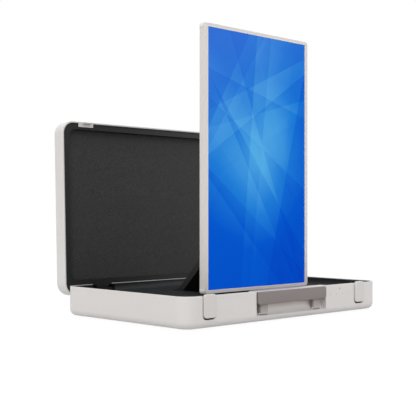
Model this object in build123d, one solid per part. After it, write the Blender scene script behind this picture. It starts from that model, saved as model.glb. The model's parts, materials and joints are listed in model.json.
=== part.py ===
from build123d import *
import math
import os

# A hard carrying case that opens like a briefcase. A flat screen stands in it on a folding arm.
# Millimetres, +Z up. The origin is under the middle of the case, on the surface that it stands on.
# The carrying handle and the latches are on the -Y side, the lid hinges on the +Y side.

# Driving dimensions: the case
case_w = 670.0
case_d = 430.0
base_h = 69.5
lid_h = 44.0
corner_r = 34.0
edge_r = 15.0
rim_edge = 1.5
wall = 3.5
foot_h = 3.0
foot_r = 12.0
foot_inset = 65.0
foot_chamfer = 1.0
fit_gap = 0.3
rear_wall = 8.0
rear_wall_h = 18.0

# Driving dimensions: the tray that lines the base
tray_t = 2.0
deck_z = 52.0
tray_drop = 1.5
tray_fillet = 14.0
well_w = 126.0
well_floor_z = 26.0
well_end_gap = 14.0
well_r = 8.0
tray_front_gap = 2.2

# Driving dimensions: the lid and its hinges
lid_inset = 3.0
hinge_in = 14.0
hinge_down = 14.5
hinge_side = 108.5
hinge_w = 47.0
hinge_side_gap = 1.0
hinge_barrel_r = 5.0
hinge_pin_r = 2.5
pin_clear = 0.05
hinge_leaf_t = 3.0
hinge_leaf_d = 30.0
hinge_ear_w = 5.0
hinge_foot_d = 18.0
hinge_foot_t = 4.0
lid_open = 91.7
lid_swing_gap = 0.7
cheek_gap = 0.5
frame_recess = 2.0
frame_side = 15.5
frame_hinge_side = 37.5
frame_t = 2.5
panel_depth = 20.0
panel_t = 3.0
window_r = 22.0
rib_pitch = 130.0
rib_reach = 170.0
rib_t = 3.0
rib_count = 5
lid_panel_lap = 6.0
seal_w = 2.0
seal_h = 1.2
catch_w = 44.0
catch_d = 9.5
catch_h = 10.0
catch_in = 6.0
striker_w = 20.0
striker_t = 2.0
striker_h = 17.0
striker_in = 3.5
striker_up = 7.0
striker_eye_low = 4.0
striker_eye_high = 0.5
catch_gap = 0.2
catch_edge = 2.0

# Driving dimensions: the screen
active_w = 341.0
active_h = 599.7
bezel_side = 9.8
bezel_end = 8.0
display_t = 19.5
display_r = 8.0
display_min_r = 0.5
display_front_y = -110.0
display_mid_z = 371.0
bezel_t = 9.0
bezel_face_t = 2.5
display_wall = 2.5
trim_w = 2.0
trim_r = 1.5
trim_proud = 0.3
glass_t = 2.0
panel_module_t = 8.0
bumper_h = 10.0
bumper_side = 1.8
bumper_end = 1.0
bumper_t = 15.0
bezel_edge = 1.0
back_edge = 3.0
mount_w = 180.0
mount_h = 130.0
mount_r = 6.0
mount_t = 2.0
screen_board_w = 120.0
screen_board_h = 100.0
screen_board_t = 3.0
screen_board_up = 80.0

# Driving dimensions: the arm and the carrier
arm_w = 116.0
arm_t = 16.0
arm_y = 122.3
arm_z = 37.0
tilt_y = -72.0
tilt_z = 229.3
arm_neck = 12.0
arm_web = 10.0
arm_edge = 2.0
arm_foot = 12.0
arm_foot_t = 2.5
cable_slot_w = 22.0
cable_t = 1.2
friction_w = 8.0
friction_count = 4
arm_barrel_r = 8.0
arm_barrel_w = 80.0
arm_pin_r = 4.0
arm_ear_w = 8.0
arm_cover_t = 3.0
arm_cover_end = 17.0
carrier_w = 110.0
carrier_t = 7.5
carrier_gap = 0.5
swivel_r = 30.0
swivel_flange_r = 38.0
carrier_head_r = 55.0
carrier_cover_t = 3.0
carrier_cover_up = 6.0
carrier_cover_edge = 1.5
retainer_t = 2.0
retainer_gap = 2.0
swivel_flange_t = 4.0
swivel_end_gap = 0.3
swivel_bore_r = 15.0

# Driving dimensions: the carrying handle
grip_w = 239.0
grip_h = 25.3
grip_t = 13.0
grip_proud = 1.0
grip_top_gap = 0.8
grip_corner = 5.0
grip_edge = 2.0
leg_in = 27.0
leg_w = 24.0
leg_t = 6.0
leg_knee_t = 4.0
leg_pivot_z = 21.0
leg_pivot_in = 7.0
leg_side_gap = 1.0
leg_end_gap = 0.8
bail_plate_t = 2.0
bail_side = 4.0
bail_edge = 3.0
handle_gap = 3.0
scoop_depth = 17.0
scoop_rim = 2.4
scoop_knee_z = 36.0
scoop_low_z = 16.5
handle_pin_r = 2.0

# Driving dimensions: the latches
latch_left_side = 67.0
latch_right_side = 81.0
latch_w = 37.0
latch_t = 6.0
latch_proud = 4.0
latch_low_z = 24.6
latch_rise = 3.0
latch_r = 9.0
latch_gap = 1.8
latch_drop = 3.6
latch_axis_in = 6.0
latch_axis_up = 5.0
latch_ear_r = 4.0
latch_ear_x = 12.0
latch_ear_w = 4.0
latch_pin_r = 1.5
latch_box_t = 1.5
latch_box_d = 13.0
latch_edge = 2.0
latch_hook_w = 10.0
latch_hook_d = 5.5
latch_hook_down = 4.0
latch_hook_h = 4.0
spring_wire = 1.0
spring_gap = 0.6
spring_leg_w = 2.0
spring_leg_h = 16.0

# Driving dimensions: sockets, button and holes
port_mid_y = -20.0
port_w = 92.0
port_h = 18.0
port_mid_z = 36.5
port_depth = 5.0
port_r = 4.0
port_cup_t = 2.0
port_flange = 4.0
port_edge_in = 0.3
button_y = 60.0
button_z = 36.5
button_r = 6.0
button_gap = 0.4
button_proud = 1.3
button_travel = 1.0
button_flange_t = 1.5
button_stem = 2.0
button_stem_r = 2.0
button_flange = 1.5
button_edge = 0.5
switch_w = 6.0
switch_gap = 0.2
socket_depth = 10.0
socket_wall = 1.0
port_sockets_at = ((-20.0, 15.0, 5.6), (8.0, 13.2, 5.8))
inlet_y = -50.0
inlet_r = 3.2
inlet_pin_r = 0.8
mic_count = 4
mic_in = 16.5
mic_out = 19.7
mic_z = 50.0
mic_r = 0.8
lamp_z = 62.5
lamp_r = 1.5
mic_board_side = 8.0
mic_board_edge = 5.0

# Driving dimensions: what the base holds
battery_w = 200.0
battery_d = 170.0
battery_h = 28.0
battery_y = 20.0
battery_r = 6.0
battery_edge = 3.0
board_w = 180.0
board_d = 150.0
board_y = 40.0
board_t = 1.6
# blocks on the main board: middle from the board's middle (x, y), width, depth, height
board_blocks = ((45.0, 40.0, 30.0, 20.0, 9.0), (60.0, -20.0, 24.0, 40.0, 6.0),
                (-70.0, 50.0, 16.0, 30.0, 12.0), (-65.0, -45.0, 30.0, 30.0, 4.0))
post_r = 4.0
post_h = 8.0
post_in = 10.0
sink_x = -10.0
sink_w = 70.0
sink_d = 50.0
sink_h = 14.0
sink_base_t = 3.0
fin_t = 2.0
fin_count = 9
port_board_end = 10.0
port_board_h = 20.0
speaker_side = 100.0
speaker_in = 90.0
speaker_w = 130.0
speaker_d = 52.0
speaker_r = 5.0
grille_w = 126.0
grille_d = 44.0
grille_rim = 6.0
grille_skirt_t = 2.0
grille_t = 2.5
grille_r = 6.0
grille_skirt = 3.5
driver_r = 20.0
driver_h = 12.0
driver_dx = 32.0
cone_depth = 7.0
cone_edge = 2.5
cap_r = 6.0
cap_h = 2.4
slot_w = 2.2
slot_pitch = 5.5
pillar_r = 5.0
pillar_side = 17.0
pillar_rear = 65.0
pillar_front = 85.0
pillar_mid_x = 100.0
pillar_mid_rear = 40.0
pillar_speaker_gap = 30.0
pillar_speaker_front = 65.0
boss_root = 1.0

# Places worked out from the driving dimensions
rim_z = foot_h + base_h
floor_z = foot_h + wall
front_y = -case_d / 2
back_y = case_d / 2
hinge_y = back_y - hinge_in
hinge_z = rim_z - hinge_down
swing_r = hinge_down + frame_recess - lid_swing_gap
lid_w = case_w - 2 * lid_inset
lid_d = case_d - 2 * lid_inset
lid_r = corner_r - lid_inset
lid_front_y = front_y + lid_inset
lid_back_y = back_y - lid_inset
display_w = active_w + 2 * bezel_side
display_h = active_h + 2 * bezel_end
display_back_y = display_front_y + display_t
arm_length = math.hypot(arm_y - tilt_y, tilt_z - arm_z)
arm_angle = math.degrees(math.atan2(tilt_z - arm_z, arm_y - tilt_y))
well_back_y = arm_y + well_end_gap
well_front_y = arm_y - arm_length - well_end_gap
well_wall_z = deck_z - tray_t
well_mid_y = (well_back_y + well_front_y) / 2
well_d = well_back_y - well_front_y
latch_axis_y = front_y + latch_axis_in
latch_axis_z = latch_low_z + latch_axis_up
leg_pivot_y = front_y + leg_pivot_in
scoop_top_z = rim_z - scoop_rim
grip_top_z = scoop_top_z - grip_top_gap
grip_front_y = front_y - grip_proud
grip_back_y = grip_front_y + grip_t
hinge_x = case_w / 2 - hinge_side
latch_left_x = latch_left_side - case_w / 2
latch_right_x = case_w / 2 - latch_right_side
leg_x = grip_w / 2 - leg_in
port_back_x = case_w / 2 - port_depth - socket_depth
inner_x = case_w / 2 - wall
well_side_x = well_w / 2 + tray_t
battery_x = -(well_side_x + inner_x) / 2
board_x = (well_side_x + port_back_x - board_t) / 2
speaker_x = case_w / 2 - speaker_side
speaker_y = front_y + speaker_in
speaker_top = deck_z - grille_t - grille_skirt
mic_first = grip_w / 2 + handle_gap + mic_in
mic_last = latch_right_x - latch_w / 2 - latch_gap - mic_out
mic_xs = [mic_first + n * (mic_last - mic_first) / (mic_count - 1) for n in range(mic_count)]
lamp_x = (mic_first + mic_last) / 2
pillars = ((case_w / 2 - pillar_side, back_y - pillar_rear),
           (case_w / 2 - pillar_side, front_y + pillar_front),
           (pillar_mid_x, back_y - pillar_mid_rear),
           (speaker_x - speaker_w / 2 - pillar_speaker_gap, front_y + pillar_speaker_front))


def block(x0, x1, y0, y1, z0, z1):
    return Pos((x0 + x1) / 2, (y0 + y1) / 2, (z0 + z1) / 2) * Box(x1 - x0, y1 - y0, z1 - z0)


def slab(w, d, r, z0, z1, x=0.0, y=0.0):
    """A plate with rounded corners in plan."""
    return Pos(x, y, z0) * extrude(RectangleRounded(w, d, r), z1 - z0)


def upright_slab(w, h, r, y0, y1, x=0.0, z=0.0):
    """A plate with rounded corners that stands facing -Y."""
    face = Plane.XZ * RectangleRounded(w, h, r)
    return Pos(x, y1, z) * extrude(face, y1 - y0)


def rod_x(r, x0, x1, y, z):
    return Pos((x0 + x1) / 2, y, z) * Rot(0, 90, 0) * Cylinder(r, x1 - x0)


def rod_y(r, y0, y1, x, z):
    return Pos(x, (y0 + y1) / 2, z) * Rot(90, 0, 0) * Cylinder(r, y1 - y0)


def rod_z(r, z0, z1, x, y):
    return Pos(x, y, (z0 + z1) / 2) * Cylinder(r, z1 - z0)


def side_shape(line, x0, x1):
    """A closed outline of (y, z) points and arcs, drawn out along X."""
    face = make_face(Plane.YZ * line)
    return Pos(x0, 0, 0) * extrude(face, x1 - x0, dir=(1, 0, 0))


def both_sides(shape):
    """A piece that is drawn on the right-hand side, and its mirror image: the left one first."""
    return [mirror(shape, Plane.YZ), shape]


def at_latches(shape):
    """Both copies of a piece that is drawn for the right-hand latch, with the latch's middle at X = 0."""
    return [Pos(latch_left_x, 0, 0) * mirror(shape, Plane.YZ), Pos(latch_right_x, 0, 0) * shape]


def open_lid(shape):
    """Turn a piece drawn with the lid shut to where it stands with the lid open."""
    return shape.rotate(Axis((0, hinge_y, hinge_z), (1, 0, 0)), -lid_open)


def raise_arm(shape):
    """Turn a piece of the arm, drawn lying flat towards -Y, to its resting slope."""
    return shape.rotate(Axis((0, arm_y, arm_z), (1, 0, 0)), -arm_angle)


# The base shell

def handle_scoop(grow):
    """The hollow behind the handle: deep behind the grip, running out to the front face below."""
    deep = front_y + scoop_depth + grow
    top = scoop_top_z + grow
    low = scoop_low_z - grow
    out = front_y - grip_proud - 1
    half = grip_w / 2 + handle_gap + grow
    line = Polyline((out, low), (out, top), (deep, top), (deep, scoop_knee_z))
    line += TangentArc((deep, scoop_knee_z), (front_y, low), tangent=(0, -1))
    line += Line((front_y, low), (out, low))
    return side_shape(line, -half, half)


def leg_slot(x, grow):
    """The slot that one leg of the handle turns in."""
    half = leg_w / 2 + leg_side_gap + grow
    deep = front_y + scoop_depth + grow
    low = leg_pivot_z - leg_t / 2 - leg_end_gap - grow
    return block(x - half, x + half, front_y - wall, deep, low, scoop_knee_z + wall)


def latch_opening():
    """The window of one latch, open at the rim."""
    half = latch_w / 2 + latch_gap
    high = rim_z - latch_low_z + latch_drop
    return upright_slab(2 * half, 2 * high, latch_r + latch_gap, front_y - 1, front_y + wall + 1, 0, rim_z)


def port_plate(grow, x0, x1):
    """A plate across the socket recess, from x0 to x1."""
    face = Plane.YZ * RectangleRounded(port_w + 2 * grow, port_h + 2 * grow, port_r + grow)
    return Pos(x0, port_mid_y, port_mid_z) * extrude(face, x1 - x0)


def boss(r, high, x, y):
    """A post that stands on the floor of the base."""
    return rod_z(r, floor_z - boss_root, high, x, y)


def base_shell():
    outer = slab(case_w, case_d, corner_r, foot_h, rim_z)
    outer = fillet(outer.edges().group_by(Axis.Z)[0], edge_r)
    outer = fillet(outer.edges().group_by(Axis.Z)[-1], rim_edge)
    inner = slab(case_w - 2 * wall, case_d - 2 * wall, corner_r - wall, floor_z, rim_z + 1)
    inner = fillet(inner.edges().group_by(Axis.Z)[0], edge_r - wall)
    inner -= block(-case_w, case_w, back_y - rear_wall, back_y, rim_z - rear_wall_h, rim_z + 1)
    walls = handle_scoop(wall) + leg_slot(leg_x, wall) + leg_slot(-leg_x, wall)
    shell = outer - inner + (outer & walls)
    shell = shell - handle_scoop(0) - leg_slot(leg_x, 0) - leg_slot(-leg_x, 0)
    for hole in at_latches(latch_opening()):
        shell -= hole
    shell -= port_plate(0, inner_x - 1, case_w / 2 + 1)
    # the rear rim is rounded about the hinge line, so that the lid's frame passes it
    rear = block(-case_w, case_w, hinge_y, back_y + 1, hinge_z, rim_z + 1)
    shell -= rear - rod_x(swing_r, -case_w, case_w, hinge_y, hinge_z)
    for side in (-1, 1):
        mid = side * hinge_x
        half = hinge_w / 2 + hinge_side_gap + hinge_ear_w + fit_gap
        shell -= block(mid - half, mid + half, hinge_y, back_y + 1, deck_z, rim_z + 1)
        mid = side * leg_x
        half = leg_w / 2 + leg_side_gap + wall
        shell -= rod_x(handle_pin_r + pin_clear, mid - half, mid + half, leg_pivot_y, leg_pivot_z)
        for x, y in pillars:
            shell += boss(pillar_r, deck_z - tray_t, side * x, y)
    for dx in (-1, 1):
        for dy in (-1, 1):
            x = board_x + dx * (board_w / 2 - post_in)
            y = board_y + dy * (board_d / 2 - post_in)
            shell += boss(post_r, floor_z + post_h, x, y)
    for x in mic_xs:
        shell -= rod_y(mic_r, front_y - 1, front_y + wall + 1, x, mic_z)
    shell -= rod_y(lamp_r, front_y - 1, front_y + wall + 1, lamp_x, lamp_z)
    shell -= rod_x(button_r, inner_x - 1, case_w / 2 + 1, button_y, button_z)
    return shell


def base_tray():
    side = wall + fit_gap
    front = front_y + wall + tray_front_gap
    back = back_y - rear_wall - fit_gap
    w = case_w - 2 * side
    d = back - front
    mid = (front + back) / 2
    r = corner_r - side
    top = rim_z - tray_drop
    under = deck_z - tray_t
    hollow = slab(w - 2 * tray_t, d - 2 * tray_t, r - tray_t, deck_z, top + 1, 0, mid)
    hollow = fillet(hollow.edges().group_by(Axis.Z)[0], tray_fillet)
    tray = slab(w, d, r, under, top, 0, mid) - hollow
    scoop_half = grip_w / 2 + handle_gap + wall + fit_gap
    scoop_deep = front_y + scoop_depth + wall + fit_gap
    latch_half = latch_w / 2 + latch_gap + latch_box_t + fit_gap
    latch_deep = front_y + latch_box_d + fit_gap
    bays = [(0, scoop_half, scoop_deep)]
    bays += [(x, latch_half, latch_deep) for x in (latch_left_x, latch_right_x)]
    for x, half, deep in bays:
        tray += block(x - half - tray_t, x + half + tray_t, front, deep + tray_t, under, top)
    for x, half, deep in bays:
        tray -= block(x - half, x + half, front_y, deep, under - 1, top + 1)
    well_low = well_floor_z - tray_t
    tray += slab(2 * well_side_x, well_d + 2 * tray_t, well_r + tray_t, well_low, under, 0, well_mid_y)
    tray -= slab(well_w, well_d, well_r, well_floor_z, deck_z + 1, 0, well_mid_y)
    seat_w = grille_w + fit_gap
    seat_d = grille_d + fit_gap
    for side in (-1, 1):
        x = side * hinge_x
        half = hinge_w / 2 + hinge_side_gap + hinge_ear_w + hinge_side_gap
        tray -= block(x - half, x + half, hinge_y - hinge_leaf_d - 1, back_y, deck_z, top + 1)
        seat_r = grille_r + fit_gap / 2
        tray -= slab(seat_w, seat_d, seat_r, under - 1, deck_z + 1, side * speaker_x, speaker_y)
    return tray


def rubber_feet():
    feet = []
    for x in (-1, 1):
        for y in (-1, 1):
            foot = rod_z(foot_r, 0, foot_h, x * (case_w / 2 - foot_inset), y * (case_d / 2 - foot_inset))
            feet.append(chamfer(foot.edges().group_by(Axis.Z)[0], foot_chamfer))
    return feet


# What the base holds

def battery_pack():
    pack = slab(battery_w, battery_d, battery_r, floor_z, floor_z + battery_h, battery_x, battery_y)
    return fillet(pack.edges().group_by(Axis.Z)[-1], battery_edge)


def main_board():
    z = floor_z + post_h
    board = block(board_x - board_w / 2, board_x + board_w / 2, board_y - board_d / 2, board_y + board_d / 2,
                  z, z + board_t)
    for dx, dy, w, d, h in board_blocks:
        x = board_x + dx
        y = board_y + dy
        board += block(x - w / 2, x + w / 2, y - d / 2, y + d / 2, z, z + board_t + h)
    return board


def heat_sink():
    z = floor_z + post_h + board_t
    x0 = board_x + sink_x - sink_w / 2
    y0 = board_y - sink_d / 2
    y1 = board_y + sink_d / 2
    sink = block(x0, x0 + sink_w, y0, y1, z, z + sink_base_t)
    for n in range(fin_count):
        fin = x0 + n * (sink_w - fin_t) / (fin_count - 1)
        sink += block(fin, fin + fin_t, y0, y1, z, z + sink_h)
    return sink


def speaker_box(side):
    x = side * speaker_x
    box = slab(speaker_w, speaker_d, speaker_r, floor_z, speaker_top, x, speaker_y)
    for dx in (-1, 1):
        box -= rod_z(driver_r, speaker_top - driver_h, speaker_top + 1, x + dx * driver_dx, speaker_y)
    return box


def speaker_drivers(side):
    """Two drivers a side, each a basket with a dished cone and a raised cap."""
    r = driver_r - fit_gap
    drivers = []
    for dx in (-1, 1):
        driver = rod_z(r, -driver_h, 0, 0, 0)
        driver -= Pos(0, 0, -cone_depth / 2) * Cone(cap_r, r - cone_edge, cone_depth)
        driver += Pos(0, 0, -cone_depth + cap_h / 2) * Cone(cap_r, cap_r / 2, cap_h)
        drivers.append(Pos(side * speaker_x + dx * driver_dx, speaker_y, speaker_top) * driver)
    return drivers


def speaker_grille(side):
    """A slotted plate, on a skirt that stands on the speaker's box."""
    x = side * speaker_x
    low = deck_z - grille_t
    grille = slab(grille_w, grille_d, grille_r, low, deck_z, x, speaker_y)
    count = int((grille_w - 2 * grille_rim) / slot_pitch)
    half_d = grille_d / 2 - grille_rim
    for n in range(count):
        slot_x = x + (n - (count - 1) / 2) * slot_pitch
        grille -= block(slot_x - slot_w / 2, slot_x + slot_w / 2, speaker_y - half_d, speaker_y + half_d,
                        low - 1, deck_z + 1)
    skirt = slab(grille_w, grille_d, grille_r, speaker_top, low, x, speaker_y)
    inset = 2 * grille_skirt_t
    inside_r = grille_r - grille_skirt_t
    skirt -= slab(grille_w - inset, grille_d - inset, inside_r, speaker_top - 1, low + 1, x, speaker_y)
    return grille + skirt


def microphone_board():
    y = front_y + wall
    board = block(mic_first - mic_board_side, mic_last + mic_board_side, y, y + board_t,
                  mic_z - mic_board_edge, lamp_z + mic_board_edge)
    for x in mic_xs:
        board -= rod_y(mic_r, y - 1, y + board_t / 2, x, mic_z)
    return board


# The ports and the button on the right-hand side

def port_panel():
    """The cup behind the side window, with a flange inside the wall and holes for the sockets."""
    floor_x = case_w / 2 - port_depth
    panel = port_plate(port_flange, inner_x - port_cup_t, inner_x)
    panel += port_plate(-fit_gap, floor_x - port_cup_t, case_w / 2 - port_edge_in)
    panel -= port_plate(-fit_gap - port_cup_t, floor_x, case_w / 2 + 1)
    for y, w, h in port_sockets_at:
        panel -= socket_block(y, w, h, floor_x - port_cup_t - 1, floor_x + 1)
    return panel - rod_x(inlet_r + socket_wall, floor_x - port_cup_t - 1, floor_x + 1, inlet_y, port_mid_z)


def socket_block(y, w, h, x0, x1):
    """The outside of one rectangular socket."""
    half_w = w / 2 + socket_wall
    half_h = h / 2 + socket_wall
    return block(x0, x1, y - half_w, y + half_w, port_mid_z - half_h, port_mid_z + half_h)


def port_sockets():
    face = case_w / 2 - port_depth - fit_gap
    bottom = port_back_x + socket_wall
    parts = []
    for y, w, h in port_sockets_at:
        can = socket_block(y, w, h, port_back_x, face)
        low = port_mid_z - h / 2
        parts.append(can - block(bottom, face + 1, y - w / 2, y + w / 2, low, low + h))
    inlet = rod_x(inlet_r + socket_wall, port_back_x, face, inlet_y, port_mid_z)
    inlet -= rod_x(inlet_r, bottom, face + 1, inlet_y, port_mid_z)
    inlet += rod_x(inlet_pin_r, port_back_x, face - socket_wall, inlet_y, port_mid_z)
    parts.append(inlet)
    return parts


def port_board():
    return block(port_back_x - board_t, port_back_x, port_mid_y - port_w / 2, button_y + port_board_end,
                 port_mid_z - port_board_h / 2, port_mid_z + port_board_h / 2)


def power_switch():
    """The switch on the board behind the button's stem."""
    end = inner_x - button_flange_t - button_stem - button_travel - switch_gap
    half = switch_w / 2
    return block(port_back_x, end, button_y - half, button_y + half, button_z - half, button_z + half)


def power_button():
    back = inner_x - switch_gap / 2
    cap = rod_x(button_r - button_gap, back - button_flange_t, case_w / 2 + button_proud, button_y, button_z)
    cap = chamfer(cap.edges().group_by(Axis.X)[-1], button_edge)
    cap += rod_x(button_r + button_flange, back - button_flange_t, back, button_y, button_z)
    return cap + rod_x(button_stem_r, back - button_flange_t - button_stem, back, button_y, button_z)


# The carrying handle

def handle_grip():
    mid_z = grip_top_z - grip_h / 2
    grip = upright_slab(grip_w, grip_h, grip_corner, grip_front_y, grip_back_y, 0, mid_z)
    return fillet(grip.edges().group_by(Axis.Y)[0], grip_edge)


def handle_bail():
    """Two legs below the grip, each bent back at a knee to the plate that joins them behind the grip."""
    low = grip_top_z - grip_h
    knee_top = low - fit_gap
    knee_low = knee_top - leg_knee_t
    leg_front = leg_pivot_y - leg_t / 2
    leg_back = leg_pivot_y + leg_t / 2
    back = grip_back_y + bail_plate_t
    half = leg_x + leg_w / 2 + bail_side
    bail = block(-half, half, grip_back_y, back, low + bail_edge, grip_top_z - bail_edge)
    for side in (-1, 1):
        x0 = side * leg_x - leg_w / 2
        x1 = side * leg_x + leg_w / 2
        bail += block(x0, x1, leg_front, leg_back, leg_pivot_z, knee_top)
        bail += block(x0, x1, leg_front, back, knee_low, knee_top)
        bail += block(x0, x1, grip_back_y, back, knee_low, low + bail_edge)
        bail += rod_x(leg_t / 2, x0, x1, leg_pivot_y, leg_pivot_z)
        bail -= rod_x(handle_pin_r + pin_clear, x0 - 1, x1 + 1, leg_pivot_y, leg_pivot_z)
    return bail


def handle_pins():
    reach = leg_w / 2 + leg_side_gap + wall
    return both_sides(rod_x(handle_pin_r, leg_x - reach, leg_x + reach, leg_pivot_y, leg_pivot_z))


# The latches, each drawn for the right-hand side with its middle at X = 0

def latch_lever():
    """The lever, which laps the rim, with a hook for the striker and two ears on the pin."""
    high = rim_z + latch_rise
    out = front_y - latch_proud
    back = out + latch_t
    plate = upright_slab(latch_w, high - latch_low_z, latch_r, out, back, 0, (high + latch_low_z) / 2)
    plate = fillet(plate.edges().group_by(Axis.Y)[0], latch_edge)
    hook_top = rim_z - latch_hook_down
    hook_low = hook_top - latch_hook_h
    hook_x = latch_hook_w / 2
    plate += block(-catch_in - hook_x, -catch_in + hook_x, back, back + latch_hook_d, hook_low, hook_top)
    for side in (-1, 1):
        x0 = side * latch_ear_x - latch_ear_w / 2
        x1 = side * latch_ear_x + latch_ear_w / 2
        low = latch_axis_z - latch_ear_r
        plate += block(x0, x1, back - 1, latch_axis_y, low, latch_axis_z + latch_ear_r)
        plate += rod_x(latch_ear_r, x0, x1, latch_axis_y, latch_axis_z)
    return plate - rod_x(latch_pin_r + pin_clear, -latch_w, latch_w, latch_axis_y, latch_axis_z)


def latch_box():
    """The cup behind the latch's window, which carries its pin."""
    half = latch_w / 2 + latch_gap
    low = latch_low_z - latch_drop
    front = front_y + wall
    deep = front_y + latch_box_d
    side = half + latch_box_t
    box = block(-side, side, front, deep, low - latch_box_t, rim_z - tray_drop)
    box -= block(-half, half, front - 1, deep - latch_box_t, low, rim_z + 1)
    return box - rod_x(latch_pin_r + pin_clear, -side - 1, side + 1, latch_axis_y, latch_axis_z)


def latch_pin():
    half = latch_w / 2 + latch_gap + latch_box_t
    return rod_x(latch_pin_r, -half, half, latch_axis_y, latch_axis_z)


def latch_spring():
    """A coil on the pin between the lever's ears, with one leg up the back of the box."""
    half = latch_ear_x - latch_ear_w / 2 - 1
    back = front_y + latch_box_d - latch_box_t
    bore = latch_pin_r + spring_gap
    leg_x0 = half - spring_leg_w
    coil = rod_x(bore + spring_wire, -half, half, latch_axis_y, latch_axis_z)
    coil -= rod_x(bore, -half - 1, half + 1, latch_axis_y, latch_axis_z)
    coil += block(leg_x0, half, latch_axis_y + bore, back, latch_axis_z, latch_axis_z + spring_wire)
    return coil + block(leg_x0, half, back - spring_wire, back, latch_axis_z, latch_axis_z + spring_leg_h)


# The lid hinges, drawn on the right-hand side with the lid shut

def hinge_leaf():
    """A leaf on the deck with two cheeks, which carry the pin and close the ends of the rear rim's gap."""
    half = hinge_w / 2 + hinge_side_gap
    out = half + hinge_ear_w
    top = deck_z + hinge_leaf_t
    leaf = block(-out, out, hinge_y - hinge_leaf_d, hinge_y - hinge_barrel_r - hinge_side_gap, deck_z, top)
    for side in (-1, 1):
        x0, x1 = sorted((side * half, side * out))
        leaf += block(x0, x1, hinge_y - hinge_leaf_d, hinge_y + hinge_barrel_r, deck_z, top)
        cheek = rod_x(swing_r - cheek_gap, x0, x1, hinge_y, hinge_z)
        leaf += cheek & block(x0, x1, hinge_y - hinge_barrel_r, back_y - 1, deck_z, rim_z - tray_drop)
    leaf -= rod_x(hinge_pin_r + pin_clear, -out - 1, out + 1, hinge_y, hinge_z)
    return Pos(hinge_x, 0, 0) * leaf


def hinge_pin():
    out = hinge_w / 2 + hinge_side_gap + hinge_ear_w
    return rod_x(hinge_pin_r, hinge_x - out, hinge_x + out, hinge_y, hinge_z)


def lid_hinge_arm():
    """The arm that goes from the pin up into the lid, with a foot that is screwed behind the lid's frame."""
    half = hinge_w / 2
    t = hinge_barrel_r - 1
    foot_z = rim_z + frame_recess + frame_t
    arm = rod_x(hinge_barrel_r, -half, half, hinge_y, hinge_z)
    arm += block(-half, half, hinge_y - t, hinge_y + t, hinge_z, foot_z + hinge_foot_t)
    arm += block(-half, half, hinge_y - hinge_foot_d, hinge_y + t, foot_z, foot_z + hinge_foot_t)
    arm -= rod_x(hinge_pin_r + pin_clear, -half - 1, half + 1, hinge_y, hinge_z)
    return Pos(hinge_x, 0, 0) * arm


# The lid, drawn shut

def lid_shell():
    top = rim_z + lid_h
    outer = slab(lid_w, lid_d, lid_r, rim_z, top)
    outer = fillet(outer.edges().group_by(Axis.Z)[-1], edge_r)
    outer = fillet(outer.edges().group_by(Axis.Z)[0], rim_edge)
    inner = slab(lid_w - 2 * wall, lid_d - 2 * wall, lid_r - wall, rim_z - 1, top - wall)
    inner = fillet(inner.edges().group_by(Axis.Z)[-1], edge_r - wall)
    return outer - inner


def lid_window(grow, z0, z1):
    """The opening of the lid's frame, wider on the hinge side."""
    w = lid_w - 2 * (wall + frame_side) + 2 * grow
    y0 = lid_front_y + wall + frame_side - grow
    y1 = lid_back_y - frame_hinge_side + grow
    return slab(w, y1 - y0, window_r + grow, z0, z1, 0, (y0 + y1) / 2)


def lid_frame():
    low = rim_z + frame_recess
    side = wall + fit_gap
    deep = rim_z + panel_depth
    frame = slab(lid_w - 2 * side, lid_d - 2 * side, lid_r - side, low, low + frame_t)
    frame += lid_window(frame_t, low, deep)
    frame -= lid_window(0, low - 1, deep + 1)
    for side in (-1, 1):
        x = side * hinge_x
        half = hinge_w / 2 + fit_gap
        t = hinge_barrel_r - 1 + fit_gap
        frame -= block(x - half, x + half, hinge_y - t, hinge_y + t, low - 1, low + frame_t + 1)
    return frame - catch_room(low - 1, low + frame_t + 1)


def catch_room(z0, z1):
    """The cut-outs for both catches."""
    half = catch_w / 2 + fit_gap
    deep_y = lid_front_y + wall + catch_d + fit_gap
    return sum(at_latches(block(-catch_in - half, -catch_in + half, lid_front_y, deep_y, z0, z1)), Part())


def lid_panel():
    """The lining panel, on ribs that stand on the inside of the lid."""
    z = rim_z + panel_depth
    panel = lid_window(frame_t + lid_panel_lap, z, z + panel_t)
    for n in range(rib_count):
        x = (n - (rib_count - 1) / 2) * rib_pitch
        panel += block(x - rib_t / 2, x + rib_t / 2, -rib_reach, rib_reach, z, rim_z + lid_h - wall)
    return panel


def lid_seal():
    side = wall + fit_gap
    low = rim_z + frame_recess - seal_h
    high = rim_z + frame_recess
    seal = slab(lid_w - 2 * side, lid_d - 2 * side, lid_r - side, low, high)
    side += seal_w
    seal -= slab(lid_w - 2 * side, lid_d - 2 * side, lid_r - side, low - 1, high + 1)
    return seal - catch_room(low - 1, high + 1)


def lid_catch():
    """A block on the lid's frame, with a slot for the striker, a little inboard of the latch's middle."""
    y = lid_front_y + wall
    slot_y = front_y + wall + striker_in
    catch = block(-catch_w / 2, catch_w / 2, y, y + catch_d, rim_z + catch_gap, rim_z + catch_h)
    catch = fillet(catch.edges().filter_by(Axis.Z).group_by(Axis.Y)[-1], catch_edge)
    catch -= block(-striker_w / 2, striker_w / 2, slot_y, slot_y + striker_t, rim_z - 1, rim_z + striker_up)
    return Pos(-catch_in, 0, 0) * catch


def catch_striker():
    """The steel tongue that goes down into the latch, with an eye for the hook."""
    y = front_y + wall + striker_in
    high = rim_z + striker_up
    striker = block(-striker_w / 2, striker_w / 2, y, y + striker_t, high - striker_h, high)
    half = latch_hook_w / 2 + 1
    eye_low = rim_z - striker_eye_low
    striker -= block(-half, half, y - 1, y + striker_t + 1, eye_low, rim_z - striker_eye_high)
    return Pos(-catch_in, 0, 0) * striker


# The folding arm, drawn lying flat towards -Y

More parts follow.
